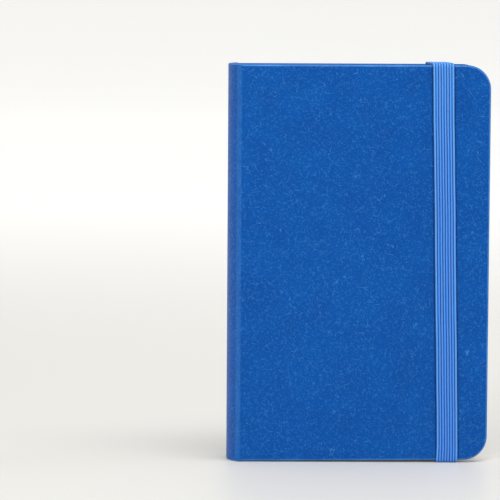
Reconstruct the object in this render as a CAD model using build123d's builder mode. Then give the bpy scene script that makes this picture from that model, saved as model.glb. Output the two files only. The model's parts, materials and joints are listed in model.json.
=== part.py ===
from build123d import *
import math
import os

# A pocket notebook: sewn sections of paper in a rounded leatherette case, held shut by an elastic band.
# It stands closed on its tail. X runs from the spine to the fore-edge, the front cover faces -Y and +Z is
# the head. The origin is the middle of the underside of the whole notebook. Sizes are in millimetres.

# Case: the two covers and the spine
COVER_HEIGHT = 140.0
COVER_WIDTH = 88.3  # from the joint crease to the fore-edge
CORNER_RADIUS = 8.5
EDGE_ROUNDING = 0.7
SPINE_BULGE = 3.9  # how far the rounded spine stands out from its two creases
BOARD_THICKNESS = 1.8
SKIN_THICKNESS = 0.45
TURN_IN_THICKNESS = 0.3
TURN_IN_WIDTH = 12.0
JOINT_WIDTH = 1.0  # from a crease to the edge of its board
SKIN_GAP = 0.05  # between a crease and the skin on each side of it
LINER_THICKNESS = 0.5
LINER_SETBACK = 0.6  # from the crease to the edge of the spine liner

# Endpapers: a pastedown inside each cover and a free flyleaf
ENDPAPER_THICKNESS = 0.15
ENDPAPER_GAP = 0.1
PASTEDOWN_MARGIN = 2.5
FLYLEAF_BEND = 2.0  # from the crease to the line where the flyleaf bends

# Text block: sections of folded sheets, sewn through their folds
SECTIONS = 12
SECTION_THICKNESS = 0.82
SECTION_GAP = 0.08
HEAD_SQUARE = 2.0  # how far the covers stand out past the pages at head and tail
FORE_SQUARE = 2.3  # the same at the fore-edge, for the outermost sections
PAGE_CORNER_RADIUS = 7.5
BEND_GAP = 0.1  # between the glued fold of a section and its turning leaves
FLYLEAF_TURN = 106.0  # degrees that a flyleaf turns while its cover opens
FAN_STEP = 15.0  # degrees that each section lags behind the one outside it

# Spine linings: thread and gauze behind the folds, a band at the head and at the tail
HOLLOW_GAP = 0.15
MULL_THICKNESS = 0.25
MULL_CLEARANCE = 1.0
THREAD_RADIUS = 0.15
THREAD_GAP = 0.03
STITCH_LENGTH = 12.0
STITCHES = 4
STITCH_PITCH = 30.0
BAND_RADIUS = 0.7
BAND_GAP = 0.05

# Elastic closure
ELASTIC_WIDTH = 7.2
ELASTIC_THICKNESS = 0.75
ELASTIC_GAP = 0.05
ELASTIC_INSET = 15.5  # from the fore-edge to the middle of the elastic
SLOT_SETBACK = 6.0  # from the head or tail edge to the slot in the back cover
SLOT_CLEARANCE = 0.1
TAB_LENGTH = 14.0  # glued end of the elastic inside the back cover

# Places that follow from those sizes
COVER_THICKNESS = SKIN_THICKNESS + BOARD_THICKNESS + TURN_IN_THICKNESS + ENDPAPER_THICKNESS
SECTION_PITCH = SECTION_THICKNESS + SECTION_GAP
BLOCK_THICKNESS = SECTIONS * SECTION_PITCH - SECTION_GAP
FLYLEAF_Y = BLOCK_THICKNESS / 2 + ENDPAPER_GAP + ENDPAPER_THICKNESS / 2
HALF_BOOK = FLYLEAF_Y + ENDPAPER_THICKNESS / 2 + ENDPAPER_GAP + COVER_THICKNESS
CREASE_X = -(COVER_WIDTH - SPINE_BULGE) / 2
FORE_EDGE_X = CREASE_X + COVER_WIDTH
TAIL_Z = ELASTIC_THICKNESS + ELASTIC_GAP
HEAD_Z = TAIL_Z + COVER_HEIGHT
MIDDLE_Z = (TAIL_Z + HEAD_Z) / 2
PAGE_BOTTOM = TAIL_Z + HEAD_SQUARE
PAGE_HEIGHT = COVER_HEIGHT - 2 * HEAD_SQUARE

# The spine is an arc through both creases. Every lining behind it shares the arc's centre.
SPINE_RADIUS = (HALF_BOOK**2 + SPINE_BULGE**2) / (2 * SPINE_BULGE)
ARC_X = CREASE_X - SPINE_BULGE + SPINE_RADIUS
LINER_RADIUS = SPINE_RADIUS - SKIN_THICKNESS
LINER_INNER = LINER_RADIUS - LINER_THICKNESS
MULL_RADIUS = LINER_INNER - HOLLOW_GAP
MULL_INNER = MULL_RADIUS - MULL_THICKNESS
THREAD_ARC = MULL_INNER - THREAD_GAP - THREAD_RADIUS
FOLD_RADIUS = THREAD_ARC - THREAD_RADIUS - THREAD_GAP
FOLD_NOSE = SECTION_THICKNESS / 2
FRONT, BACK = -1, 1  # the sign of Y on each side of the book


def section_y(index):
    """Mid-plane of a section, counted from 0 at the front."""
    return (index - (SECTIONS - 1) / 2) * SECTION_PITCH


def fold_x(y):
    """Centre of the round fold of the section at y, which just touches the arc of the folds."""
    return ARC_X - math.sqrt((FOLD_RADIUS - FOLD_NOSE) ** 2 - y**2)


def rank(index):
    """How many sheets in from its cover a section lies: the flyleaf is 0, the outermost section 1."""
    return min(index, SECTIONS - 1 - index) + 1


def turn_angle(depth):
    """Degrees that the sheet at this rank turns while its cover opens by a half turn."""
    return FLYLEAF_TURN - FAN_STEP * depth


def bend_x(depth):
    """Bend line of the sheet at this rank. Each step inwards is the sheets' spacing times the tangent of
    half the turn, which keeps two neighbours as far apart when they are fanned as when they are shut."""
    x = CREASE_X + FLYLEAF_BEND
    for step in range(1, depth + 1):
        spacing = SECTION_PITCH if step > 1 else FLYLEAF_Y - BLOCK_THICKNESS / 2 + FOLD_NOSE
        x += spacing * math.tan(math.radians(turn_angle(step)) / 2)
    return x


def panel(side, depth, thickness, start_x, inset, mode=Mode.ADD):
    """A flat layer of a cover, at this depth under its outer face, with round fore-edge corners."""
    level = Plane(origin=(0, side * (HALF_BOOK - depth), 0), x_dir=(1, 0, 0), z_dir=(0, -1, 0))
    with BuildSketch(level) as outline:
        with Locations((start_x, MIDDLE_Z)):
            width = FORE_EDGE_X - inset - start_x
            Rectangle(width, COVER_HEIGHT - 2 * inset, align=(Align.MIN, Align.CENTER))
        corners = outline.vertices().group_by(Axis.X)[-1]
        fillet(corners, radius=max(CORNER_RADIUS - inset, EDGE_ROUNDING))
    extrude(outline.sketch, amount=side * thickness, mode=mode)


def spine_layer(outer, inner, setback, bottom, top, mode=Mode.ADD):
    """An upright wall between two arcs about the spine's centre, up to this far short of the creases."""
    with BuildSketch(Plane.XY.offset(bottom)) as plan:
        with Locations((ARC_X, 0)):
            Circle(outer)
            Circle(inner, mode=Mode.SUBTRACT)
        with Locations((CREASE_X - setback, 0)):
            Rectangle(outer, 2 * outer, align=(Align.MAX, Align.CENTER), mode=Mode.INTERSECT)
    extrude(plan.sketch, amount=top - bottom, mode=mode)


def upright_leaf(y, start_x, end_x, thickness, bottom, height):
    """A flat upright sheet or stack of sheets, with a round nose on the line that it turns about."""
    with BuildSketch(Plane.XY.offset(bottom)) as plan:
        with Locations((start_x, y)):
            Circle(thickness / 2)
            Rectangle(end_x - start_x, thickness, align=(Align.MIN, Align.CENTER))
    extrude(plan.sketch, amount=height)


def save(piece, name):
    piece.part.label = name
    export_step(piece.part, f"parts/{name}.step")


def slot_z(end):
    """Height of the slot that the elastic goes through, near the head (1) or the tail (-1)."""
    return MIDDLE_Z + end * (COVER_HEIGHT / 2 - SLOT_SETBACK)


def elastic_end(end, clearance, mode=Mode.ADD):
    """The end of the elastic that goes through the back cover and turns towards its middle."""
    width = ELASTIC_WIDTH + 2 * clearance
    thickness = ELASTIC_THICKNESS + 2 * clearance
    inner_face = HALF_BOOK - SKIN_THICKNESS - BOARD_THICKNESS
    with BuildSketch(Plane.YZ.offset(ELASTIC_X - width / 2)) as profile:
        with Locations((HALF_BOOK, slot_z(end))):
            Rectangle(SKIN_THICKNESS + BOARD_THICKNESS, thickness, align=(Align.MAX, Align.CENTER))
        with Locations((inner_face, slot_z(end) - end * TAB_LENGTH / 2)):
            length = TAB_LENGTH + 2 * clearance
            Rectangle(ELASTIC_THICKNESS + clearance, length, align=(Align.MIN, Align.CENTER))
    extrude(profile.sketch, amount=width, mode=mode)


ELASTIC_X = FORE_EDGE_X - ELASTIC_INSET
PAGE_EDGE_X = FORE_EDGE_X - FORE_SQUARE
PAGE_WIDTH = PAGE_EDGE_X - fold_x(section_y(0))

os.makedirs("parts", exist_ok=True)

# The covers: a greyboard panel wrapped in leatherette, which turns in over its edges, and the endpapers
for side, name in ((FRONT, "front"), (BACK, "back")):
    turn_in_depth = SKIN_THICKNESS + BOARD_THICKNESS
    board_x = CREASE_X + JOINT_WIDTH

    with BuildPart() as board:
        panel(side, SKIN_THICKNESS, BOARD_THICKNESS, board_x, SKIN_THICKNESS)
        if side == BACK:
            elastic_end(1, SLOT_CLEARANCE, Mode.SUBTRACT)
            elastic_end(-1, SLOT_CLEARANCE, Mode.SUBTRACT)
    save(board, f"{name}_board")

    with BuildPart() as cover_skin:
        panel(side, 0, turn_in_depth + TURN_IN_THICKNESS, CREASE_X + SKIN_GAP, 0)
        outer_face = cover_skin.faces().sort_by(Axis.Y)[0 if side == FRONT else -1]
        fillet(outer_face.edges() - outer_face.edges().group_by(Axis.X)[0], radius=EDGE_ROUNDING)
        panel(side, SKIN_THICKNESS, BOARD_THICKNESS, CREASE_X, SKIN_THICKNESS, Mode.SUBTRACT)
        panel(side, turn_in_depth, TURN_IN_THICKNESS, CREASE_X, TURN_IN_WIDTH, Mode.SUBTRACT)
        if side == BACK:
            elastic_end(1, SLOT_CLEARANCE, Mode.SUBTRACT)
            elastic_end(-1, SLOT_CLEARANCE, Mode.SUBTRACT)
    save(cover_skin, f"{name}_cover_skin")

    # The pastedown covers the raw edges of the turn-ins, and its paste fills the step inside them.
    with BuildPart() as pastedown:
        panel(side, turn_in_depth, TURN_IN_THICKNESS, board_x, TURN_IN_WIDTH)
        panel(side, turn_in_depth + TURN_IN_THICKNESS, ENDPAPER_THICKNESS, board_x, PASTEDOWN_MARGIN)
    save(pastedown, f"{name}_pastedown")

    with BuildPart() as flyleaf:
        upright_leaf(side * FLYLEAF_Y, bend_x(0), PAGE_EDGE_X, ENDPAPER_THICKNESS, PAGE_BOTTOM, PAGE_HEIGHT)
        fillet(flyleaf.edges().filter_by(Axis.Y).group_by(Axis.X)[-1], radius=PAGE_CORNER_RADIUS)
    save(flyleaf, f"{name}_flyleaf")

# The spine: leatherette that turns in at head and tail over a card liner
with BuildPart() as spine_skin:
    spine_layer(SPINE_RADIUS, LINER_INNER - TURN_IN_THICKNESS, SKIN_GAP, TAIL_Z, HEAD_Z)
    bottom, top = TAIL_Z + SKIN_THICKNESS, HEAD_Z - SKIN_THICKNESS
    spine_layer(LINER_RADIUS, LINER_INNER, 0, bottom, top, Mode.SUBTRACT)
    bottom, top = TAIL_Z + TURN_IN_WIDTH, HEAD_Z - TURN_IN_WIDTH
    spine_layer(LINER_RADIUS, MULL_INNER, 0, bottom, top, Mode.SUBTRACT)
save(spine_skin, "spine_skin")

with BuildPart() as spine_liner:
    bottom, top = TAIL_Z + SKIN_THICKNESS, HEAD_Z - SKIN_THICKNESS
    spine_layer(LINER_RADIUS, LINER_INNER, LINER_SETBACK, bottom, top)
save(spine_liner, "spine_liner")

with BuildPart() as spine_mull:
    bottom = TAIL_Z + TURN_IN_WIDTH + MULL_CLEARANCE
    top = HEAD_Z - TURN_IN_WIDTH - MULL_CLEARANCE
    spine_layer(MULL_RADIUS, MULL_INNER, LINER_SETBACK, bottom, top)
save(spine_mull, "spine_mull")

# The text block: the folds are glued up at the back, and beyond its bend line each section turns
with BuildPart() as section_folds:
    for index in range(SECTIONS):
        y = section_y(index)
        end_x = bend_x(rank(index)) - FOLD_NOSE - BEND_GAP
        upright_leaf(y, fold_x(y), end_x, SECTION_THICKNESS, PAGE_BOTTOM, PAGE_HEIGHT)
save(section_folds, "section_folds")

for index in range(SECTIONS):
    with BuildPart() as section:
        y = section_y(index)
        edge_x = fold_x(y) + PAGE_WIDTH
        upright_leaf(y, bend_x(rank(index)), edge_x, SECTION_THICKNESS, PAGE_BOTTOM, PAGE_HEIGHT)
        fillet(section.edges().filter_by(Axis.Y).group_by(Axis.X)[-1], radius=PAGE_CORNER_RADIUS)
    save(section, f"section_{index + 1:02d}")

# One upright stitch behind each fold at every sewing station
with BuildPart() as sewing_thread:
    for index in range(SECTIONS):
        y = section_y(index)
        x = ARC_X - math.sqrt(THREAD_ARC**2 - y**2)
        for stitch in range(STITCHES):
            z = MIDDLE_Z + (stitch - (STITCHES - 1) / 2) * STITCH_PITCH - STITCH_LENGTH / 2
            with BuildSketch(Plane.XY.offset(z)) as thread_end:
                with Locations((x, y)):
                    Circle(THREAD_RADIUS)
            extrude(amount=STITCH_LENGTH)
save(sewing_thread, "sewing_thread")

# A rolled band on the ends of the folds, round the back of the block
for end, name in ((1, "head_band"), (-1, "tail_band")):
    with BuildPart() as end_band:
        roll_z = MIDDLE_Z + end * (PAGE_HEIGHT / 2 + BAND_GAP + BAND_RADIUS)
        roll_radius = FOLD_RADIUS - BAND_RADIUS
        half_angle = math.degrees(math.asin((BLOCK_THICKNESS / 2 - BAND_RADIUS / 2) / roll_radius))
        with BuildLine(Plane.XY.offset(roll_z)) as route:
            CenterArc((ARC_X, 0), roll_radius, 180 - half_angle, 2 * half_angle)
        with BuildSketch(Plane(origin=route.line @ 0, z_dir=route.line % 0)) as roll:
            Circle(BAND_RADIUS)
        sweep()
    save(end_band, name)

# The elastic: a loop round the front cover from slot to slot of the back cover, and its two glued ends
with BuildPart() as elastic_band:
    inner_half = HALF_BOOK + ELASTIC_GAP
    outer_half = inner_half + ELASTIC_THICKNESS
    loop_height = COVER_HEIGHT + 2 * (ELASTIC_GAP + ELASTIC_THICKNESS)
    return_z = slot_z(1) - ELASTIC_THICKNESS / 2
    with BuildSketch(Plane.YZ.offset(ELASTIC_X - ELASTIC_WIDTH / 2)) as loop:
        with Locations((0, MIDDLE_Z)):
            Rectangle(2 * outer_half, loop_height)
            fillet(loop.vertices(), radius=ELASTIC_THICKNESS)
            Rectangle(2 * inner_half, loop_height - 2 * ELASTIC_THICKNESS, mode=Mode.SUBTRACT)
        with Locations((inner_half, MIDDLE_Z)):
            open_back = 2 * (return_z - MIDDLE_Z)
            Rectangle(2 * ELASTIC_THICKNESS, open_back, mode=Mode.SUBTRACT)
    extrude(amount=ELASTIC_WIDTH)
save(elastic_band, "elastic_band")

for end, name in ((1, "elastic_end_head"), (-1, "elastic_end_tail")):
    with BuildPart() as glued_end:
        elastic_end(end, 0)
    save(glued_end, name)

print(f"book {2 * HALF_BOOK:.2f} thick, spine radius {SPINE_RADIUS:.2f}, page {PAGE_WIDTH:.2f} wide")
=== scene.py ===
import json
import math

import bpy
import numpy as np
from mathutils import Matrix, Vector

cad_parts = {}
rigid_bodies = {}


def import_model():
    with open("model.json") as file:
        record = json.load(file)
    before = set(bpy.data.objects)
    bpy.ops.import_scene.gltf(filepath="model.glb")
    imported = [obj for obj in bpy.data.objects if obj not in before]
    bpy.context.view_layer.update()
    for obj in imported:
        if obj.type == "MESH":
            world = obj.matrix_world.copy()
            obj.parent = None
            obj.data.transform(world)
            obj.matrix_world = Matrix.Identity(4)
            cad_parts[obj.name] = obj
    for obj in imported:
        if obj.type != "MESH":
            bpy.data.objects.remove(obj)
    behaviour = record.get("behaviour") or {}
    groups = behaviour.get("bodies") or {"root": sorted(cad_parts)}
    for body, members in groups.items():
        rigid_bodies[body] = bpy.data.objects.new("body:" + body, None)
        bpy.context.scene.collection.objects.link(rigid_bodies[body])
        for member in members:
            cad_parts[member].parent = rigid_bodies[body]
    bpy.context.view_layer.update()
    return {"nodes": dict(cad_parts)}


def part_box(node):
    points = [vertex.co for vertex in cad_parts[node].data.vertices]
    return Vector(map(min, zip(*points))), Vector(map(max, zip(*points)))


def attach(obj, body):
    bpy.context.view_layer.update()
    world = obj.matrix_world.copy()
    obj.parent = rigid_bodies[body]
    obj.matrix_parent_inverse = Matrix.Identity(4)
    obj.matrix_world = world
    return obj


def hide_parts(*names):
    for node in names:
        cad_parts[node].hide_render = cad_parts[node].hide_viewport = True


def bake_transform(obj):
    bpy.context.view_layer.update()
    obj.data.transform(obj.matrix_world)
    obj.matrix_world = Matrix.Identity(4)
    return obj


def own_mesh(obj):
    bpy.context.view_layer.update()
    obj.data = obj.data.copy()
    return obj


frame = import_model()

# %% [markdown]
# A pocket notebook
# -----------------
# This lesson dresses the solid model of a small sewn notebook, which stands shut on its tail with an
# elastic round it. The solid model fixes every place and every joint. Here each surface that shows is made
# again as what it is: leatherette turned over boards, folded sheets of paper, ribbed elastic.
# Shapes are worked out in millimetres and only become metres when they are put into a mesh.

MM = 0.001

# %% [markdown]
# The sizes of the book
# ---------------------
# The bookbinder's measures come first. Most are read back from the solid model, so that they can't drift
# apart from it: the crease is where the spine meets a cover, and the half book is from the middle of the
# pages to the outer face of a cover.

# %% Sizes read from the solid model


def box_mm(node):
    """Lowest and highest corner of a solid, in millimetres."""
    return [np.array(corner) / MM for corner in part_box(node)]


CREASE_GAP = 0.05  # the solid cover starts this far past the middle of the crease
SKIN_BOX = box_mm("front_cover_skin")
SPINE_BOX = box_mm("spine_skin")
FLYLEAF_BOX = box_mm("front_flyleaf")
BAND_BOX = box_mm("elastic_band")
CREASE_X = SKIN_BOX[0][0] - CREASE_GAP
FORE_EDGE_X = SKIN_BOX[1][0]
HALF_BOOK = -SKIN_BOX[0][1]
TAIL_Z, HEAD_Z = SKIN_BOX[0][2], SKIN_BOX[1][2]
MIDDLE_Z = (TAIL_Z + HEAD_Z) / 2
HALF_HEIGHT = (HEAD_Z - TAIL_Z) / 2
HINGE_LINE_Z = 0.07  # any height will do for a bend line; this one is half way up, in metres
SPINE_BULGE = CREASE_X - SPINE_BOX[0][0]
SPINE_RADIUS = (HALF_BOOK**2 + SPINE_BULGE**2) / (2 * SPINE_BULGE)
ARC_X = CREASE_X - SPINE_BULGE + SPINE_RADIUS
PAGE_HALF = (FLYLEAF_BOX[1][2] - FLYLEAF_BOX[0][2]) / 2
ELASTIC_X = (BAND_BOX[0][0] + BAND_BOX[1][0]) / 2
FRONT, BACK = -1, 1
print(f"book {2 * HALF_BOOK:.2f} thick, spine radius {SPINE_RADIUS:.2f}, crease at {CREASE_X:.2f}")

# %% Sizes of the details
CORNER_RADIUS = 8.5
PAGE_CORNER_RADIUS = 7.5
COVER_ROUNDING = 0.7
COVER_DEPTH = SKIN_BOX[1][1] - SKIN_BOX[0][1]
SPINE_DEPTH = 1.25
JOINT_DEPTH = 0.8
TURN_IN = 12.0
LEATHER = 0.3
SLOT_REACH = 0.375  # half of the elastic's thickness, so from the middle of a slot to the elastic's face
SLOT_Z = (box_mm("elastic_end_tail")[0][2] + SLOT_REACH, box_mm("elastic_end_head")[1][2] - SLOT_REACH)
SLOT_HALF_HEIGHT, SLOT_HALF_WIDTH = 0.44, 3.7
ELASTIC_LEAN = (1.35, -1.55)  # how far the front run is off its place at the tail and at the head
rng = np.random.default_rng(12)

# %% [markdown]
# From arrays to a piece
# ----------------------
# Every new piece is a grid of points worked out with numpy. A few helpers list a grid's square faces, put
# points and faces into a Blender mesh, and give a thin sheet its thickness for good, so that no modifier is
# left running when the covers move. Most sheets stand upright on a line that is drawn from above.

# %% Grid helpers


def grid_faces(rows, columns, first=0, around=False):
    """Square faces of a grid numbered row by row. With around, the last column joins the first."""
    row, column = np.meshgrid(np.arange(rows - 1), np.arange(columns - (not around)), indexing="ij")
    a = row * columns + column
    b = row * columns + (column + 1) % columns
    return np.stack([a, b, b + columns, a + columns], -1).reshape(-1, 4) + first


def make_piece(name, points, faces, uv=None, caps=()):
    """A smooth mesh at the origin, from points in millimetres and a UV pair for each point if given."""
    mesh = bpy.data.meshes.new(name)
    mesh.from_pydata((points * MM).tolist(), [], faces.tolist() + list(caps))
    mesh.shade_smooth()
    if uv is not None:
        corner_points = np.zeros(len(mesh.loops), np.int32)
        mesh.loops.foreach_get("vertex_index", corner_points)
        mesh.uv_layers.new(name="UVMap").uv.foreach_set("vector", uv[corner_points].ravel())
    piece = bpy.data.objects.new(name, mesh)
    bpy.context.scene.collection.objects.link(piece)
    return piece


def thicken(piece, thickness, offset=-1.0, sharp=50):
    """Gives a sheet its thickness with Solidify, keeps the result as its mesh, and marks corners as sharp."""
    solidify = piece.modifiers.new("thickness", "SOLIDIFY")
    solidify.thickness, solidify.offset, solidify.use_even_offset = thickness * MM, offset, True
    bpy.context.view_layer.update()
    final = piece.evaluated_get(bpy.context.evaluated_depsgraph_get())
    mesh = bpy.data.meshes.new_from_object(final)
    piece.modifiers.clear()
    piece.data = mesh
    mesh.set_sharp_from_angle(angle=math.radians(sharp))


def upright(x, y, half, rows):
    """A sheet standing on the line (x, y): columns reach half up and down, with points at rows."""
    tiles = (len(rows), 1)
    return np.stack([np.tile(x, tiles), np.tile(y, tiles), MIDDLE_Z + rows[:, None] * half[None, :]], -1)


def bend_line(start, stop, y):
    """Both ends of the strip from start to stop along x, at y and at the height of the bend line."""
    return (start * MM, y * MM, HINGE_LINE_Z), (stop * MM, y * MM, HINGE_LINE_Z)


def report(piece):
    """Prints what a piece is made of."""
    corners = np.array([corner[:] for corner in piece.bound_box]) / MM
    size = (corners.max(0) - corners.min(0)).round(2)
    print(f"{piece.name}: {len(piece.data.polygons)} faces, {size} mm")


# %% [markdown]
# Mixing a finish
# ---------------
# A finish is a Principled shader with a colour, a roughness and a bump, all driven by patterns that sit on
# the piece. The small helpers below add a node and join it up in one line, so each recipe stays readable.

# %% Finish helpers


def srgb(red, green, blue):
    """A colour written in 0 to 255 steps, as the linear colour that a shader wants."""
    value = np.array([red, green, blue]) / 255
    linear = np.where(value <= 0.04045, value / 12.92, ((value + 0.055) / 1.055) ** 2.4)
    return (*linear.tolist(), 1.0)


class Finish:
    """A material being mixed: add() makes a node, and each keyword fills a socket with a number or a link."""

    def __init__(self, name, roughness, **sockets):
        self.material = bpy.data.materials.new(name)
        self.material.use_nodes = True
        self.tree = self.material.node_tree
        self.shader = self.tree.nodes["Principled BSDF"]
        self.shader.inputs["Roughness"].default_value = roughness
        for socket, value in sockets.items():
            self.shader.inputs[socket.replace("_", " ")].default_value = value
        self.place = self.add("TexCoord").outputs["Object"]

    def add(self, kind, settings=None, **sockets):
        node = self.tree.nodes.new("ShaderNode" + kind)
        for key, value in (settings or {}).items():
            setattr(node, key, value)
        for socket, value in sockets.items():
            self.fill(node.inputs[socket.replace("_", " ")], value)
        return node

    def fill(self, socket, value):
        if isinstance(value, bpy.types.NodeSocket):
            self.tree.links.new(value, socket)
        else:
            socket.default_value = value

    def sum(self, operation, *values):
        node = self.tree.nodes.new("ShaderNodeMath")
        node.operation = operation
        for socket, value in zip(node.inputs, values):
            self.fill(socket, value)
        return node.outputs[0]

    def noise(self, scale, detail=3.0, rough=0.5, place=None):
        node = self.add("TexNoise", Vector=place or self.place, Scale=scale, Detail=detail, Roughness=rough)
        return node.outputs["Fac"]

    def band(self, value, low, high, to_low=0.0, to_high=1.0):
        node = self.add("MapRange", {"interpolation_type": "SMOOTHSTEP"}, Value=value)
        ends = (("From Min", low), ("From Max", high), ("To Min", to_low), ("To Max", to_high))
        for socket, number in ends:
            node.inputs[socket].default_value = number
        return node.outputs[0]

    def blend(self, share, first, second):
        node = self.add("Mix", {"data_type": "RGBA"})
        self.fill(node.inputs[0], share)
        self.fill(node.inputs[6], first)
        self.fill(node.inputs[7], second)
        return node.outputs[2]

    def split(self, vector=None):
        """The x, y and z of a vector; of the place on the piece if none is given."""
        return self.add("SeparateXYZ", Vector=vector or self.place).outputs

    def waves(self, place, length):
        """A sine of a place on the piece, with a wave length in millimetres."""
        return self.sum("SINE", self.sum("MULTIPLY", place, 2 * math.pi / (length * MM)))

    def stretch(self, x, y, z):
        return self.add("Mapping", Vector=self.place, Scale=(x, y, z)).outputs[0]

    def bump(self, *layers):
        """Bumps one on top of the other: each layer is (height, depth in millimetres)."""
        normal = None
        for height, depth in layers:
            node = self.add("Bump", Height=height, Distance=depth * MM)
            if normal is not None:
                self.fill(node.inputs["Normal"], normal)
            normal = node.outputs[0]
        self.fill(self.shader.inputs["Normal"], normal)

    def colour(self, value):
        self.fill(self.shader.inputs["Base Color"], value)

    def roughness(self, value):
        self.fill(self.shader.inputs["Roughness"], value)


# %% [markdown]
# Leatherette
# -----------
# The case is covered in embossed paper-backed plastic that copies fine leather. Close up it has pebbles a
# third of a millimetre across, and over them thin short wrinkles that run every way and catch the light.
# The wrinkles come from the borders between random cells, bent by a noise and erased in most places,
# so only short curved pieces of each border are left. Light and shade are painted into the colour as well:
# a painted highlight along the ridge at the crease and along the rounded edges, and a thin painted shadow
# beside each side of the elastic on the front cover.

# %% Leatherette finish
leatherette = Finish("leatherette", 0.4, Specular_IOR_Level=0.4, Specular_Tint=(0.28, 0.8, 1.0, 1.0))


def wrinkles(finish, cells, width, keep, bend):
    """Short curved lines: near a cell border (distance under width), where a broad noise is above keep."""
    wander = finish.add("TexNoise", Vector=finish.place, Scale=cells * 0.8, Detail=2.0).outputs["Color"]
    shifted = finish.add("VectorMath", {"operation": "MULTIPLY_ADD"})
    finish.fill(shifted.inputs[0], wander)
    finish.fill(shifted.inputs[1], (bend, bend, bend))
    finish.fill(shifted.inputs[2], finish.place)
    cell = finish.add("TexVoronoi", {"feature": "DISTANCE_TO_EDGE"}, Vector=shifted.outputs[0], Scale=cells)
    line = finish.band(cell.outputs["Distance"], 0.0, width, 1.0, 0.0)
    patch = finish.band(finish.noise(cells * 1.5, 1.0), keep, keep + 0.08)
    return finish.sum("MULTIPLY", line, patch)


pebbles = leatherette.add(
    "TexVoronoi", {"feature": "SMOOTH_F1"}, Vector=leatherette.place, Scale=2600.0, Smoothness=0.6
).outputs["Distance"]
grain = leatherette.noise(1500.0, 3.0, 0.6)
long_lines = wrinkles(leatherette, 340.0, 0.03, 0.54, 0.002)
short_lines = wrinkles(leatherette, 1300.0, 0.12, 0.57, 0.0006)
lines = leatherette.sum("MAXIMUM", long_lines, leatherette.sum("MULTIPLY", short_lines, 0.5))
leatherette.bump((pebbles, -0.07), (grain, 0.12), (lines, 0.08))

# %% Colour of the leatherette
cloudy = leatherette.band(leatherette.noise(90.0, 4.0, 0.6), 0.3, 0.7)
body_blue = leatherette.blend(cloudy, srgb(0, 68, 154), srgb(0, 75, 162))
speckled = leatherette.band(grain, 0.5, 0.72)
body_blue = leatherette.blend(leatherette.sum("MULTIPLY", speckled, 0.5), body_blue, srgb(44, 122, 200))
print("body: two blues, paler in the grain")

# %% Painted highlights at the crease and along the edges, painted shadow beside the elastic
CREASE_HIGHLIGHT_X = CREASE_X - 0.35
SHADOW_LINE_OFF = 3.9  # from the middle of the elastic to the painted shadow line beside each of its sides
place_x, place_y, place_z = leatherette.split()
from_crease = leatherette.sum("ABSOLUTE", leatherette.sum("SUBTRACT", place_x, CREASE_HIGHLIGHT_X * MM))
broken = leatherette.noise(1.0, 3.0, 0.6, leatherette.stretch(1500.0, 300.0, 260.0))
# Painted highlight: a pale band along the ridge at the crease, broken up by a long thin noise.
painted_crease_highlight = leatherette.band(from_crease, 1.15 * MM, 0.35 * MM, 0.0, 0.36)
painted_crease_highlight = leatherette.sum("MULTIPLY", painted_crease_highlight, leatherette.band(broken, 0.2, 0.75, 0.35, 1.0))
body_blue = leatherette.blend(painted_crease_highlight, body_blue, srgb(62, 128, 200))

run_share = leatherette.sum("SUBTRACT", place_z, TAIL_Z * MM)
run_share = leatherette.sum("DIVIDE", run_share, 2 * HALF_HEIGHT * MM)
lean = (ELASTIC_LEAN[1] - ELASTIC_LEAN[0]) * MM
run_middle = leatherette.sum("MULTIPLY_ADD", run_share, lean, (ELASTIC_X + ELASTIC_LEAN[0]) * MM)
off_run = leatherette.sum("ABSOLUTE", leatherette.sum("SUBTRACT", place_x, run_middle))
off_edge = leatherette.sum("ABSOLUTE", leatherette.sum("SUBTRACT", off_run, SHADOW_LINE_OFF * MM))
# Painted shadow: a thin dark line beside each side of the elastic on the front cover, standing in for the
# band's contact shadow; it stays when the elastic swings away.
painted_contact_shadow = leatherette.band(off_edge, 0.55 * MM, 0.15 * MM, 0.0, 0.6)
on_front = leatherette.sum("LESS_THAN", place_y, -7.0 * MM)
body_blue = leatherette.blend(leatherette.sum("MULTIPLY", painted_contact_shadow, on_front), body_blue, srgb(0, 30, 92))

# Painted highlight along the rounded edges of the case, by the share held in the UV map, varied by the cloudy
# noise.
painted_edge_highlight = leatherette.split(leatherette.add("UVMap").outputs[0])[0]
painted_edge_highlight = leatherette.sum("MULTIPLY", painted_edge_highlight, leatherette.band(cloudy, 0.0, 1.0, 0.3, 0.5))
body_blue = leatherette.blend(painted_edge_highlight, body_blue, srgb(96, 164, 224))
leatherette.colour(leatherette.blend(leatherette.sum("MULTIPLY", lines, 0.5), body_blue, srgb(78, 144, 212)))
leatherette.roughness(leatherette.band(grain, 0.3, 0.7, 0.5, 0.36))
# The three kinds of wear in this print are painted light: a painted highlight at the crease, a painted
# highlight along the edges and a painted shadow beside the elastic.
print("leatherette: pebbles, grain, two sizes of wrinkle, three kinds of wear")

# %% [markdown]
# The case
# --------
# One sheet of leatherette wraps the whole case. Seen from above, its line is an arc round the spine, a
# soft ridge at the crease where the board presses it out, and then straight to the fore-edge. It is made
# in two halves that meet down the middle of the spine.
# The face is a grid: columns follow that line, and each column's half height shrinks at the round corners.
# The edge is a second surface, a profile carried along the outline of the face: a rounding, a wall as deep
# as the board, another rounding, and the turn-in that is pasted down inside.

# %% The line of the case from above


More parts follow.
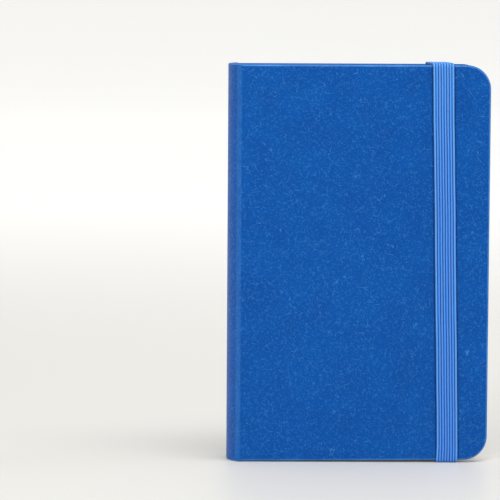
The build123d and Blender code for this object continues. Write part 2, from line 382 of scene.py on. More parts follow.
def case_line():
    """Columns as x, y (positive) and the outward normal (nx, ny).

    The arc has centre ARC_X and radius SPINE_RADIUS, up to reach mm before the crease. A quadratic curve then
    leads into the flat; case_half adds the columns round the corner: x = centre + r sin t, half height + r
    cos t.
    """
    reach = 0.85
    full = math.asin(HALF_BOOK / SPINE_RADIUS)
    arc = np.concatenate([[0.0, 0.003], np.linspace(0.012, full - reach / SPINE_RADIUS, 26)])
    arc_x, arc_y = ARC_X - SPINE_RADIUS * np.cos(arc), SPINE_RADIUS * np.sin(arc)
    last = arc[-1]
    t = np.linspace(0, 1, 13)[1:]
    start = np.array([arc_x[-1], arc_y[-1]])
    along = np.array([math.sin(last), math.cos(last)])
    corner = start + along * (HALF_BOOK - start[1]) / along[1]
    stop = np.array([corner[0] + reach, HALF_BOOK])
    weights = np.stack([(1 - t) ** 2, 2 * t * (1 - t), t**2], -1)
    soft = weights @ np.stack([start, corner, stop])
    slope = 2 * (1 - t)[:, None] * (corner - start) + 2 * t[:, None] * (stop - corner)
    slope /= np.linalg.norm(slope, axis=1)[:, None]
    flat_end = FORE_EDGE_X - CORNER_RADIUS
    flat_x = stop[0] + np.array([0.3, 0.7, 1.2, 2.0])
    flat_x = np.concatenate([flat_x, np.linspace(stop[0] + 4, flat_end, 44)])
    x = np.concatenate([arc_x, soft[:, 0], flat_x])
    y = np.concatenate([arc_y, soft[:, 1], np.full(len(flat_x), HALF_BOOK)])
    nx = np.concatenate([-np.cos(arc), -slope[:, 1], np.zeros(len(flat_x))])
    ny = np.concatenate([np.sin(arc), slope[:, 0], np.ones(len(flat_x))])
    return x, y, nx, ny


LINE_X, LINE_Y, LINE_NX, LINE_NY = case_line()
print(len(LINE_X), "columns from the middle of the spine to the corner")

# %% How deep and how rounded the edge is, column by column


def step(value, low, high):
    """0 below low, 1 above high, smooth between."""
    t = np.clip((value - low) / (high - low), 0, 1)
    return t * t * (3 - 2 * t)


SPINE_ROUNDING, JOINT_ROUNDING = 0.5, 0.38
SPINE_RISE, JOINT_DIP = 0.22, 0.05


def edge_measures(x):
    """Depth of the edge, its rounding, and how far the spine's ends stand past the covers'."""
    into_joint = step(x, CREASE_X - 1.2, CREASE_X - 0.2)
    onto_board = step(x, CREASE_X + 0.35, CREASE_X + 1.1)
    depth = SPINE_DEPTH + (JOINT_DEPTH - SPINE_DEPTH) * into_joint + (COVER_DEPTH - JOINT_DEPTH) * onto_board
    rounding = SPINE_ROUNDING + (JOINT_ROUNDING - SPINE_ROUNDING) * into_joint
    rounding = rounding + (COVER_ROUNDING - JOINT_ROUNDING) * onto_board
    rise = SPINE_RISE * (1 - step(x, CREASE_X - 0.8, CREASE_X + 0.9))
    rise = rise - JOINT_DIP * into_joint * (1 - onto_board)
    return depth, rounding, rise


# %% One half of the case


CORNER_STEPS = 14  # columns round one corner of a cover
SMALL_ROUNDING = 0.36  # of the edge that faces the pages
EDGE_HIGHLIGHT = [0.9, 1.0, 1.0, 0.7, 0.4, 0.15]  # how much painted edge highlight the first rings get, from the face outwards
TURN_IN_SHARES = (0.04, 0.1, 0.2, 0.45, 0.99)
PLEAT = 0.05  # height of the folds where the turn-in is gathered at a corner
MITRE_X = FORE_EDGE_X - TURN_IN


def hump(x, middle, width):
    """A smooth hump, 1 at the middle: exp(-((x - middle) / width) squared)."""
    return np.exp(-(((x - middle) / width) ** 2))


def case_half(side):
    """Points, faces and UV of one half: the face grid, then rings carried round its outline."""
    depth, rounding, rise = edge_measures(LINE_X)
    ridge = 0.2 * hump(LINE_X, CREASE_X - 0.45, 0.55) - 0.06 * hump(LINE_X, CREASE_X + 1.5, 0.6)
    turn = np.linspace(0, math.pi / 2, CORNER_STEPS + 1)[1:]
    inner = CORNER_RADIUS - COVER_ROUNDING
    x = np.concatenate([LINE_X + ridge * LINE_NX, FORE_EDGE_X - CORNER_RADIUS + inner * np.sin(turn)])
    y = np.concatenate([LINE_Y + ridge * LINE_NY, np.full(CORNER_STEPS, HALF_BOOK)])
    straight = HALF_HEIGHT + rise - rounding
    half = np.concatenate([straight, HALF_HEIGHT - CORNER_RADIUS + inner * np.cos(turn)])
    nx = np.concatenate([LINE_NX, np.zeros(CORNER_STEPS)])
    ny = np.concatenate([LINE_NY, np.ones(CORNER_STEPS)])
    depth = np.concatenate([depth, np.full(CORNER_STEPS, COVER_DEPTH)])
    rounding = np.concatenate([rounding, np.full(CORNER_STEPS, COVER_ROUNDING)])
    edge_x = np.concatenate([np.zeros(len(LINE_X)), np.sin(turn)])
    edge_z = np.concatenate([np.ones(len(LINE_X)), np.cos(turn)])

    face_half = HALF_HEIGHT - COVER_ROUNDING
    slots = np.array([z + s * SLOT_HALF_HEIGHT for z in SLOT_Z for s in (-1, 1)])
    v = np.unique(np.concatenate([np.linspace(-1, 1, 49), (slots - MIDDLE_Z) / face_half]))
    rows, columns = len(v), len(x)
    face = upright(x, side * y, half, v)
    faces = grid_faces(rows, columns)
    if side == BACK:
        row, column = np.divmod(faces[:, 0], columns)
        z = MIDDLE_Z + (v[row] + v[row + 1]) / 2 * face_half
        middle = (x[column] + x[np.minimum(column + 1, columns - 1)]) / 2
        off_slot = np.abs(z[:, None] - np.array(SLOT_Z)).min(1)
        in_slot = (off_slot < SLOT_HALF_HEIGHT + 0.01) & (np.abs(middle - ELASTIC_X) < SLOT_HALF_WIDTH)
        faces = faces[~in_slot]

    # The outline runs along the tail, up the fore-edge and back along the head.
    ids = np.arange(rows * columns).reshape(rows, columns)
    outline = np.concatenate([ids[0, :], ids[1:-1, -1], ids[-1, ::-1]])
    column = np.concatenate([np.arange(columns), np.full(rows - 2, columns - 1), np.arange(columns)[::-1]])
    sign = np.concatenate([-np.ones(columns), np.zeros(rows - 2), np.ones(columns)])
    base = face.reshape(-1, 3)[outline]
    out = np.stack([edge_x[column], 0 * sign, edge_z[column] * sign], -1)
    up = np.stack([nx[column], side * ny[column], 0 * sign], -1)
    r, d = rounding[column][:, None], depth[column][:, None]
    r2 = np.minimum(SMALL_ROUNDING, r * 0.75)
    rings = []
    for a in np.linspace(0, math.pi / 2, 8)[1:]:
        rings.append(base + out * r * math.sin(a) - up * r * (1 - math.cos(a)))
    for share in (0.33, 0.67, 1.0):
        rings.append(base + out * r - up * (r + (d - r - r2) * share))
    for a in np.linspace(0, math.pi / 2, 6)[1:]:
        rings.append(base + out * (r - r2 + r2 * math.cos(a)) - up * (d - r2 + r2 * math.sin(a)))

    # The turn-in: straight in along head, tail and fore-edge, drawn towards one point at each corner.
    start = rings[-1]
    goal = start - out * TURN_IN
    at_corner = (np.abs(edge_x[column]) > 0) | (sign == 0)
    mitre_z = MIDDLE_Z + sign * (HALF_HEIGHT - TURN_IN)
    pull = np.stack([np.full(len(base), MITRE_X), start[:, 1], mitre_z], -1)
    middle = np.abs(sign) < 0.5
    pull[middle, 2] = np.clip(start[middle, 2], TAIL_Z + TURN_IN, HEAD_Z - TURN_IN)
    goal = np.where(at_corner[:, None], pull, goal)
    on_board = base[:, 0] > CREASE_X + 3
    goal[on_board, 0] = np.minimum(goal[on_board, 0], MITRE_X)
    pleat = np.where((edge_x[column] > 0.02) & (edge_x[column] < 0.999) & (sign != 0), PLEAT, 0.0)
    wave = pleat * np.sin(np.arcsin(np.clip(edge_x[column], 0, 1)) * 18)
    for share in TURN_IN_SHARES:
        fold = up * (wave * math.sin(math.pi * min(1.0, share * 3)))[:, None]
        rings.append(start + (goal - start) * share - fold)
    strip = np.stack(rings)
    first, count = rows * columns, len(outline)
    ring_ids = first + np.arange(count)
    strip_faces = grid_faces(len(rings), count, first)
    join = np.stack([outline[:-1], outline[1:], ring_ids[1:], ring_ids[:-1]], -1)
    all_faces = np.concatenate([faces, join[:, ::-1], strip_faces[:, ::-1]])
    if side == BACK:
        all_faces = all_faces[:, ::-1]

    # The UV map holds how much painted edge highlight a point gets: most on the outer half of the rounding.
    highlight_share = np.concatenate([EDGE_HIGHLIGHT, np.zeros(len(rings) - len(EDGE_HIGHLIGHT))])
    highlight_share = np.concatenate([np.zeros(rows * columns), np.repeat(highlight_share, count)])
    points = np.concatenate([face.reshape(-1, 3), strip.reshape(-1, 3)])
    return points, all_faces, np.stack([highlight_share, np.zeros(len(highlight_share))], -1)


# %% Both halves of the case
for side, name in ((FRONT, "front"), (BACK, "back")):
    case_piece = make_piece(f"{name}_case_leatherette", *case_half(side))
    case_piece.data.materials.append(leatherette.material)
    thicken(case_piece, LEATHER, -1.0, 75)
    hinge = bend_line(CREASE_X + 0.02, CREASE_X + 1.0, side * HALF_BOOK)
    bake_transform(case_piece)
    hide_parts(f"{name}_cover_skin", "spine_skin")
    report(case_piece)

# %% [markdown]
# Ribbed elastic
# --------------
# The band is woven round parallel rubber cords, so its outer face is a row of eight round ribs with fine
# stitches across them. Its section, the ribs on top and a flat underside, is carried along a path that
# comes out of the upper slot of the back cover, goes over the head, down the front and under the tail to
# the lower slot. It was pulled on by hand, so the front run leans a little, and it spreads where it turns.

# %% Elastic finish
ribbed = Finish("elastic_webbing", 0.6, Specular_IOR_Level=0.2, Sheen_Weight=0.08, Sheen_Roughness=0.4)
RIBS, RIB = 8, 0.9
HALF_BAND = RIBS * RIB / 2
STITCH = 0.62
along, across = ribbed.split(ribbed.add("UVMap").outputs[0])[:2]
rib_number = ribbed.sum("FLOOR", across)
rib_place = ribbed.sum("FRACT", across)
slant = ribbed.sum("ABSOLUTE", ribbed.sum("SUBTRACT", rib_place, 0.5))
stitch_run = ribbed.sum("ADD", ribbed.sum("ADD", along, slant), ribbed.sum("MULTIPLY", rib_number, 0.5))
stitch = ribbed.sum("SINE", ribbed.sum("MULTIPLY", stitch_run, 2 * math.pi))
fuzz = ribbed.noise(2500.0, 3.0, 0.7)
ribbed.bump((stitch, 0.028), (fuzz, 0.05))

# %% Colour of the elastic
# Painted light and shade on the ribs: each rib's crown is painted lighter and the groove between ribs darker,
# and the two outermost ribs get a painted highlight on their crowns.
crown_light_groove_shade = ribbed.band(slant, 0.48, 0.14)
edge_rib = ribbed.sum("ABSOLUTE", ribbed.sum("SUBTRACT", across, RIBS / 2))
painted_outer_rib_highlight = ribbed.sum("MULTIPLY", ribbed.band(edge_rib, 2.9, 3.5), crown_light_groove_shade)
rib_blue = ribbed.blend(crown_light_groove_shade, srgb(0, 18, 116), srgb(64, 142, 240))
rib_blue = ribbed.blend(ribbed.sum("MULTIPLY", painted_outer_rib_highlight, 0.3), rib_blue, srgb(112, 190, 255))
# Painted light: the rib crowns are painted lighter towards the head of the book, where more light falls from
# above.
painted_top_light = ribbed.band(ribbed.split()[2], 0.09, 0.145, 0.0, 0.22)
rib_blue = ribbed.blend(ribbed.sum("MULTIPLY", painted_top_light, crown_light_groove_shade), rib_blue, srgb(104, 186, 255))
thready = ribbed.band(ribbed.sum("ADD", ribbed.sum("MULTIPLY", stitch, 0.25), fuzz), 0.3, 0.8)
ribbed.colour(ribbed.blend(ribbed.sum("MULTIPLY", thready, 0.3), rib_blue, srgb(120, 180, 250)))
print("elastic: eight ribs with slanting stitches")

# %% The section of the elastic


GROUND, CORD = 0.16, 0.59  # the cloth under the ribs, and a rib above it
EDGE_HEIGHT = 0.36
UNDERSIDE_COLUMNS = 15


def elastic_section():
    """Closed ring of (across, height): eight ribs and the flat underside.

    Over one rib, q goes from -1 to 1 and the height is GROUND + CORD * root(1 - 0.8 q squared).
    """
    q = np.linspace(-1, 1, 10)[:-1]
    one_rib = GROUND + CORD * np.sqrt(1 - 0.80 * q**2)
    outer_rib = HALF_BAND - RIB / 2
    rib_middles = np.linspace(-outer_rib, outer_rib, RIBS)
    across = np.append((rib_middles[:, None] + q[None, :] * RIB / 2).ravel(), HALF_BAND)
    height = np.append(np.tile(one_rib, RIBS), EDGE_HEIGHT)
    height[0] = EDGE_HEIGHT
    under = np.linspace(outer_rib, -outer_rib, UNDERSIDE_COLUMNS)
    return np.concatenate([across, under]), np.concatenate([height, np.zeros(UNDERSIDE_COLUMNS)])


# %% The path of the elastic


LIFT = 0.05  # between the cover and the underside of the elastic
BAND_BEND = 0.75
SLOT_BEND = 0.12
IN_SLOT = 0.12


def elastic_path():
    """Points (y, z) of the underside and outward normals, from the upper slot round to the lower one.

    Each leg is (y, z, angle). The angle of the normal is 0 on the back, half pi on the head and pi in front.
    """
    face, top = HALF_BOOK + LIFT, HEAD_Z + LIFT
    slot_top = SLOT_Z[1] + SLOT_REACH
    upper = slot_top + SLOT_BEND
    out = np.linspace(-math.pi / 2, 0, 8)
    quarter = np.linspace(0, math.pi / 2, 9)
    sine, cosine = BAND_BEND * np.sin(quarter), BAND_BEND * np.cos(quarter)
    rise = np.linspace(upper, top - BAND_BEND, 6)[1:-1]
    over = np.linspace(face - BAND_BEND, -face + BAND_BEND, 12)[1:-1]
    down = np.linspace(top - BAND_BEND, MIDDLE_Z, 40)[1:]
    legs = [
        ([face - SLOT_BEND - IN_SLOT], [slot_top], [-math.pi / 2]),
        (face - SLOT_BEND + SLOT_BEND * np.cos(out), upper + SLOT_BEND * np.sin(out), out),
        (np.full(len(rise), face), rise, np.zeros(len(rise))),
        (face - BAND_BEND + cosine, top - BAND_BEND + sine, quarter),
        (over, np.full(len(over), top), np.full(len(over), math.pi / 2)),
        (-face + BAND_BEND - sine, top - BAND_BEND + cosine, math.pi / 2 + quarter),
        (np.full(len(down), -face), down, np.full(len(down), math.pi)),
    ]
    y, z, angle = (np.concatenate(part) for part in zip(*legs))
    # The tail half mirrors the head half about mid height.
    y = np.concatenate([y, y[-2::-1]])
    z = np.concatenate([z, 2 * MIDDLE_Z - z[-2::-1]])
    angle = np.concatenate([angle, 2 * math.pi - angle[-2::-1]])
    return y, z, np.cos(angle), np.sin(angle)


# %% Carry the section along the path


BACK_LEAN = 2.4  # how far the run up the back leans towards the spine at the head


def elastic_loop():
    """Points, faces and UV of the band, and how many points one ring of it has.

    On the front the band is off its place by ELASTIC_LEAN, is a twentieth wider, and spreads at both turns.
    """
    y, z, ny, nz = elastic_path()
    across, height = elastic_section()
    run = np.concatenate([[0], np.cumsum(np.hypot(np.diff(y), np.diff(z)))])
    to_front = step(-y, -HALF_BOOK, HALF_BOOK)
    share = (z - TAIL_Z) / (HEAD_Z - TAIL_Z)
    lean = to_front * (ELASTIC_LEAN[0] + (ELASTIC_LEAN[1] - ELASTIC_LEAN[0]) * share)
    spread_tail = hump(z, TAIL_Z, 3.2) * to_front
    spread_head = hump(z, HEAD_Z, 2.0) * to_front
    width = 1 + 0.05 * to_front + 0.03 * spread_tail + 0.01 * spread_head
    sway = 0.03 * np.sin(run / 9.0) + 0.02 * np.sin(run / 3.7)
    back_head = BACK_LEAN * step(z, SLOT_Z[1] + 1.0, HEAD_Z) * (1 - to_front)
    x = ELASTIC_X + lean - back_head - 0.22 * spread_tail + sway
    points = np.stack(
        [
            x[:, None] + across[None, :] * width[:, None],
            y[:, None] + height[None, :] * ny[:, None],
            z[:, None] + height[None, :] * nz[:, None],
        ],
        -1,
    )
    rows, columns = points.shape[:2]
    stitches = np.tile(run[:, None] / STITCH, (1, columns))
    uv = np.stack([stitches, np.tile((across + HALF_BAND) / RIB, (rows, 1))], -1)
    faces = grid_faces(rows, columns, around=True)
    return points.reshape(-1, 3), faces, uv.reshape(-1, 2), columns


points, faces, uv, ring = elastic_loop()
first_cap = np.arange(ring)[::-1].tolist()
last_cap = np.arange(len(points) - ring, len(points)).tolist()
elastic = make_piece("elastic_loop", points, faces, uv, [first_cap, last_cap])
elastic.data.materials.append(ribbed.material)
report(elastic)
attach(elastic, "elastic")
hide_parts("elastic_band")
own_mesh(elastic)

# %% [markdown]
# Paper
# -----
# The text block is twelve sections, each of four sheets folded once and nested in each other, so a section
# has eight leaves. Seen from above a sheet is a long U: in from the fore-edge, round the fold at the spine
# and out again. That line goes straight up, except at the round fore-edge corners. Real sheets never line
# up exactly, so each one is a few hundredths of a millimetre off, and the block's edges show as fine lines.

# %% Paper finishes


def paper(name, light, dark, roughness=0.85):
    """Uncoated paper: soft fibres in the bump, a hardly visible cloudiness in the colour."""
    finish = Finish(name, roughness, Specular_IOR_Level=0.2)
    fibre = finish.noise(1800.0, 4.0, 0.7)
    flecks = finish.band(finish.noise(700.0, 4.0, 0.65), 0.3, 0.75)
    finish.colour(finish.blend(flecks, light, dark))
    finish.bump((fibre, 0.02))
    return finish.material


page_paper = paper("page_paper", srgb(244, 238, 223), srgb(240, 234, 217))
endpaper = paper("endpaper", srgb(241, 235, 220), srgb(238, 231, 215), 0.8)

# %% One folded sheet


def corner_columns(edge, half, radius, count=9):
    """Columns inwards round a corner: x = edge - r + r sin t, and the half height is half - r + r cos t."""
    t = np.linspace(math.pi / 2, 0, count)
    return edge - radius + radius * np.sin(t), half - radius + radius * np.cos(t)


def folded_sheet(y, offset, fold, bend, edge, half):
    """A U from above: a leaf at y - offset, a half circle round the fold, and a leaf at y + offset."""
    corner_x, corner_half = corner_columns(edge, half, PAGE_CORNER_RADIUS)
    straight_x = np.concatenate([[20.0, 0.0, -20.0, -34.0], np.linspace(bend + 1.0, bend - 1.0, 9), [fold]])
    leaf_x = np.concatenate([corner_x, straight_x])
    leaf_half = np.concatenate([corner_half, np.full(len(straight_x), half)])
    t = np.linspace(0, math.pi, 9)[1:-1]
    x = np.concatenate([leaf_x, fold - offset * np.sin(t), leaf_x[::-1]])
    leaf_y = np.full(len(leaf_x), offset)
    ys = y + np.concatenate([-leaf_y, -offset * np.cos(t), leaf_y])
    halves = np.concatenate([leaf_half, np.full(len(t), half), leaf_half[::-1]])
    points = upright(x, ys, halves, np.array([-1.0, 0.0, 1.0]))
    return points.reshape(-1, 3), grid_faces(3, len(x))


# %% Twelve sections
SECTIONS, SHEETS = 12, 4
LEAF = 0.092
OUTER_SHEET, SHEET_STEP = 0.356, 0.1  # half width of the U of the outer sheet, and how much less the next is
FOLD_RADIUS = SPINE_RADIUS - 2.12
BEND_IN = 0.41  # from the start of a solid section to the middle of its bend
for number in range(1, SECTIONS + 1):
    low, high = box_mm(f"section_{number:02d}")
    y, edge = (low[1] + high[1]) / 2, high[0]
    fold = ARC_X - math.sqrt(FOLD_RADIUS**2 - y**2)
    bend = low[0] + BEND_IN
    points, faces = [], []
    for sheet in range(SHEETS):
        offset = OUTER_SHEET - SHEET_STEP * sheet
        jitter = rng.uniform(-0.07, 0.02, 2)
        leaf_edge, leaf_half = edge + jitter[0], PAGE_HALF + jitter[1]
        sheet_points, sheet_faces = folded_sheet(y, offset, fold, bend, leaf_edge, leaf_half)
        faces.append(sheet_faces + sum(len(p) for p in points))
        points.append(sheet_points)
    section = make_piece(f"section_{number:02d}_leaves", np.concatenate(points), np.concatenate(faces))
    section.data.materials.append(page_paper)
    thicken(section, LEAF, 0.0, 40)
    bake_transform(section)
    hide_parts(f"section_{number:02d}", "section_folds")
report(section)

# %% [markdown]
# Endpapers
# ---------
# A stouter sheet joins the block to each cover: one leaf is pasted down on the board, the other is the free
# flyleaf. Between them it dips into the joint, down along the board's edge and up along the shoulder of
# the block, which is the slack that lets the cover open flat.

# %% Flyleaves
FLYLEAF = 0.13
FLYLEAF_ROWS = 25
for name in ("front", "back"):
    low, high = box_mm(f"{name}_flyleaf")
    y, edge, bend = (low[1] + high[1]) / 2, high[0], low[0] + 0.075
    corner_x, corner_half = corner_columns(edge, PAGE_HALF, PAGE_CORNER_RADIUS)
    bend_x = np.linspace(bend + 1.0, bend - 1.0, 11)
    straight_x = np.concatenate([np.linspace(34, -36, 36), bend_x, [CREASE_X + 0.55]])
    x = np.concatenate([corner_x, straight_x])
    half = np.concatenate([corner_half, np.full(len(straight_x), PAGE_HALF)])
    points = upright(x, np.full(len(x), y), half, np.linspace(-1, 1, FLYLEAF_ROWS))
    flyleaf = make_piece(f"{name}_free_flyleaf", points.reshape(-1, 3), grid_faces(FLYLEAF_ROWS, len(x)))
    flyleaf.data.materials.append(endpaper)
    thicken(flyleaf, FLYLEAF, 0.0, 40)
    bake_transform(flyleaf)
    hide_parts(f"{name}_flyleaf")
    report(flyleaf)

# %% The hinge of each endpaper, down into the joint and up again
HINGE_PAPER = 0.1
HINGE_HALF = 67.5
HINGE_ROWS = 9
# The route as seen from above: how far past the crease, and how far from the middle of the book.
ROUTE = np.array(
    [(1.9, 5.66), (1.3, 5.66), (1.0, 5.72), (0.88, 5.95), (0.86, 6.5), (0.84, 7.0), (0.74, 7.34), (0.5, 7.44)]
    + [(0.26, 7.34), (0.16, 7.0), (0.14, 6.5), (0.14, 5.95), (0.22, 5.66), (0.5, 5.56), (0.9, 5.54)]
)
for side, name in ((FRONT, "front"), (BACK, "back")):
    half = np.full(len(ROUTE), HINGE_HALF)
    points = upright(CREASE_X + ROUTE[:, 0], side * ROUTE[:, 1], half, np.linspace(-1, 1, HINGE_ROWS))
    hinge = make_piece(f"{name}_endpaper_hinge", points.reshape(-1, 3), grid_faces(HINGE_ROWS, len(ROUTE)))
    hinge.data.materials.append(endpaper)
    thicken(hinge, HINGE_PAPER, 0.0, 60)
    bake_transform(hinge)
    report(hinge)

# %% [markdown]
# Head and tail bands
# -------------------
# A band is a thin roll of cloth glued over the ends of the folds. Its threads go round the roll, so it is
# a tube along an arc whose radius swells and shrinks with each thread.

# %% Bands
band_cloth = Finish("band_cloth", 0.7, Specular_IOR_Level=0.3, Sheen_Weight=0.2)
thread_wave = band_cloth.noise(1800.0)
turns = band_cloth.split(band_cloth.add("UVMap").outputs[0])[0]
two_tone = band_cloth.band(band_cloth.sum("SINE", band_cloth.sum("MULTIPLY", turns, math.pi)), -0.25, 0.25)
band_cloth.colour(band_cloth.blend(two_tone, srgb(28, 88, 170), srgb(226, 226, 220)))
band_cloth.bump((thread_wave, 0.04))

# %% One roll along the folds at each end
THREADS = 40
ALONG, AROUND = 241, 16  # points along a roll and round it
thread_share = np.linspace(0, 1, ALONG)
around = np.linspace(0, 2 * math.pi, AROUND + 1)[:-1]
for name in ("head_band", "tail_band"):
    low, high = box_mm(name)
    z, radius = (low[2] + high[2]) / 2, (high[2] - low[2]) / 2
    arc_radius = ARC_X - low[0] - radius
    half_angle = math.asin((high[1] - 0.1) / arc_radius)
    t = np.linspace(-half_angle, half_angle, ALONG)[:, None]
    swell = radius * (0.93 + 0.07 * np.abs(np.sin(thread_share * THREADS * math.pi)))
    swell[[0, -1]] = 0.02
    reach = arc_radius + swell[:, None] * np.cos(around)[None, :]
    height = z + swell[:, None] * np.sin(around)[None, :]
    points = np.stack([ARC_X - reach * np.cos(t), reach * np.sin(t), height], -1)
    turn_of_thread = np.tile(thread_share[:, None] * THREADS / 2, (1, AROUND))
    uv = np.stack([turn_of_thread, np.tile(around[None, :], (ALONG, 1))], -1)
    faces = grid_faces(ALONG, AROUND, around=True)
    caps = [np.arange(AROUND)[::-1].tolist(), np.arange((ALONG - 1) * AROUND, ALONG * AROUND).tolist()]
    roll = make_piece(f"{name}_roll", points.reshape(-1, 3), faces, uv.reshape(-1, 2), caps)
    roll.data.materials.append(band_cloth.material)
    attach(roll, "book_block")
    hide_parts(name)
    report(roll)

# %% [markdown]
# Pieces whose solid is already right
# -----------------------------------
# The boards, the card liner in the spine, the gauze, the sewing thread, the pastedowns and the glued ends
# of the elastic keep their solids. They only need finishes: pulp board with dark flecks, plain card, an
# open weave, waxed thread.

# %% Finishes for the kept solids
greyboard = Finish("greyboard", 0.9, Specular_IOR_Level=0.15)
pulp = greyboard.noise(900.0, 5.0, 0.7)
flecks = greyboard.band(greyboard.noise(1600.0, 2.0), 0.6, 0.7)
pulp_grey = greyboard.blend(greyboard.band(pulp, 0.3, 0.7), srgb(150, 143, 132), srgb(176, 169, 156))
greyboard.colour(greyboard.blend(greyboard.sum("MULTIPLY", flecks, 0.5), pulp_grey, srgb(96, 90, 84)))
greyboard.bump((pulp, 0.06))

card = Finish("card_liner", 0.85, Specular_IOR_Level=0.2)
card_fibre = card.noise(1300.0, 4.0, 0.65)
card.colour(card.blend(card.band(card_fibre, 0.3, 0.7), srgb(198, 190, 172), srgb(214, 206, 190)))
card.bump((card_fibre, 0.04))

gauze = Finish("gauze", 0.9, Specular_IOR_Level=0.15)
gauze_y, gauze_z = gauze.split()[1:]
warp = gauze.waves(gauze_y, 0.7)
weft = gauze.waves(gauze_z, 0.7)
weave = gauze.sum("MAXIMUM", warp, weft)
gauze.colour(gauze.blend(gauze.band(weave, 0.0, 0.8), srgb(150, 143, 128), srgb(232, 228, 216)))
gauze.bump((weave, 0.08))

thread = Finish("thread", 0.5, Specular_IOR_Level=0.35)
thread_y, thread_z = thread.split()[1:]
twist = thread.waves(thread.sum("ADD", thread_z, thread.sum("MULTIPLY", thread_y, 1.4)), 0.5)
thread.colour(thread.blend(thread.band(twist, -0.6, 0.6), srgb(214, 208, 192), srgb(240, 237, 226)))
thread.bump((twist, 0.04))

tab = Finish("elastic_tab", 0.65, Specular_IOR_Level=0.3)
tab_rib = tab.waves(tab.split()[0], RIB)
tab.colour(tab.blend(tab.band(tab_rib, -0.7, 0.6), srgb(24, 72, 176), srgb(64, 126, 216)))
tab.bump((tab_rib, 0.12))

# %% Put them on
KEPT = {
    "front_board": greyboard.material,
    "back_board": greyboard.material,
    "spine_liner": card.material,
    "spine_mull": gauze.material,
    "sewing_thread": thread.material,
    "front_pastedown": endpaper,
    "back_pastedown": endpaper,
    "elastic_end_head": tab.material,
    "elastic_end_tail": tab.material,
}
for node, material in KEPT.items():
    mesh = frame["nodes"][node].data
    mesh.materials.clear()
    mesh.materials.append(material)
print("finished", len(KEPT), "kept solids")

# %% [markdown]
# The studio
# ----------
# The notebook stands on a pale, slightly glossy table that runs back and curves up into a white wall, which
# glows a little as a lit backdrop does. The book rests on the tail of its spine and on the elastic under the
# tail, so the table is tipped by less than half a degree against the book, and a thin gap shows between
# them. Soft lamps stand on the left, above and on the right. The left one lights the cover and picks out
# the ridge at the crease. The white room fills the rest, and is dimmer in front so that the cover keeps
# its full colour.

# %% Table and wall
REST_SPINE = (-44.5, TAIL_Z - 0.22)
REST_BAND = (ELASTIC_X, 0.0)
TIP = (REST_SPINE[1] - REST_BAND[1]) / (REST_SPINE[0] - REST_BAND[0])


def table_height(x):
    """Height of the table under the book: a straight line through both places where the book rests."""
    return (x - REST_BAND[0]) * TIP


ROOM_HALF, WALL_TOP = 6000.0, 5000.0
CURVE_START, CURVE_RADIUS = 2600.0, 1500.0


def cyclorama():
    """A strip from the front of the table back to a quarter circle and up the wall, as wide as the room."""
    t = np.linspace(0, math.pi / 2, 25)
    table_y = [-ROOM_HALF, -600.0, -100.0, 200.0]
    y = np.concatenate([table_y, CURVE_START + CURVE_RADIUS * np.sin(t), [CURVE_START + CURVE_RADIUS]])
    z = np.concatenate([np.zeros(len(table_y)), CURVE_RADIUS - CURVE_RADIUS * np.cos(t), [WALL_TOP]])
    x = np.linspace(-ROOM_HALF, ROOM_HALF, 21)
    place_x, place_y = np.meshgrid(x, y)
    points = np.stack([place_x, place_y, z[:, None] + table_height(x)[None, :]], -1)
    return points.reshape(-1, 3), grid_faces(len(y), len(x))


table = make_piece("table_and_wall", *cyclorama())
surface = Finish("pale_table", 0.45, Specular_IOR_Level=0.3)
far_back = surface.split()[1]
surface.shader.inputs["Emission Color"].default_value = (0.985, 0.99, 1.0, 1)
surface.fill(surface.shader.inputs["Emission Strength"], surface.band(far_back, -0.05, 1.4, 0.03, 0.475))
surface.colour(surface.blend(surface.noise(3.0, 2.0), srgb(212, 210, 204), srgb(215, 213, 207)))
surface.bump((surface.noise(40.0, 2.0), 0.02))
table.data.materials.append(surface.material)

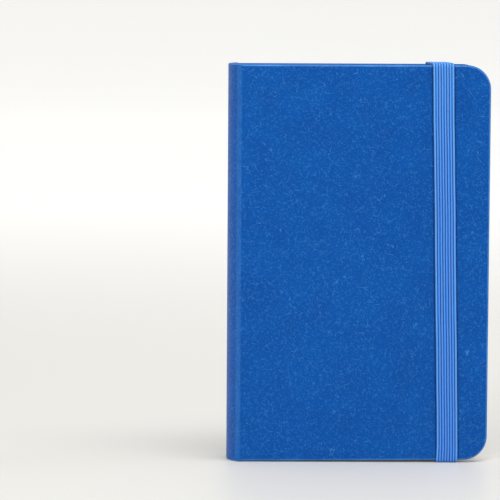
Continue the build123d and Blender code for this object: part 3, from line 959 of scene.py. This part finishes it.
# %% The white room
world = bpy.data.worlds.new("white_room")
world.use_nodes = True
room = world.node_tree
direction = room.nodes.new("ShaderNodeSeparateXYZ")
dim_end = room.nodes.new("ShaderNodeMapRange")
room.links.new(room.nodes.new("ShaderNodeTexCoord").outputs["Generated"], direction.inputs[0])
room.links.new(direction.outputs[1], dim_end.inputs["Value"])
for socket, number in (("From Min", -0.95), ("From Max", -0.3), ("To Min", 0.22), ("To Max", 0.68)):
    dim_end.inputs[socket].default_value = number
room.links.new(dim_end.outputs[0], room.nodes["Background"].inputs["Strength"])
room.nodes["Background"].inputs["Color"].default_value = (0.95, 0.955, 0.96, 1)
bpy.context.scene.world = world
bpy.context.scene.view_settings.view_transform = "Standard"
bpy.context.scene.view_settings.look = "None"


# %% Lamps


def lamp(name, place, aim, width, height, power):
    """A soft lamp, width by height, at place and turned to aim, in metres and watts."""
    data = bpy.data.lights.new(name, "AREA")
    data.shape, data.size, data.size_y, data.energy = "RECTANGLE", width, height, power
    light = bpy.data.objects.new(name, data)
    light.location = place
    light.rotation_euler = (Vector(aim) - Vector(place)).to_track_quat("-Z", "Y").to_euler()
    bpy.context.scene.collection.objects.link(light)


lamp("key", (-0.8, -1.2, 0.6), (0, 0, 0.07), 0.4, 1.0, 9.0)
lamp("top", (0.2, -0.4, 1.1), (0, 0, 0.1), 0.9, 0.4, 8.0)
lamp("right", (1.3, 0.05, 0.5), (0, 0, 0.07), 0.4, 0.9, 5.0)

# %% Camera
CAMERA_PLACE = np.array([-112.7, -1132.5, 173.9])
YAW, PITCH, ROLL = 0.0658, 0.0870, 0.0061
SENSOR, LENS = 36.0, 231.7
forward = np.array([math.sin(YAW) * math.cos(PITCH), math.cos(YAW) * math.cos(PITCH), -math.sin(PITCH)])
right = np.array([math.cos(YAW), -math.sin(YAW), 0.0])
upward = np.cross(right, forward)
rolled_right = right * math.cos(ROLL) + upward * math.sin(ROLL)
rolled_up = upward * math.cos(ROLL) - right * math.sin(ROLL)
camera = bpy.data.objects.new("camera", bpy.data.cameras.new("camera"))
bpy.context.scene.collection.objects.link(camera)
turned = np.eye(4)
turned[:3, 0], turned[:3, 1], turned[:3, 2] = rolled_right, rolled_up, -forward
turned[:3, 3] = CAMERA_PLACE * MM
camera.matrix_world = Matrix(turned.tolist())
camera.data.sensor_width = SENSOR
camera.data.lens = LENS
camera.data.clip_start, camera.data.clip_end = 0.05, 50.0
bpy.context.scene.camera = camera

bpy.context.view_layer.update()
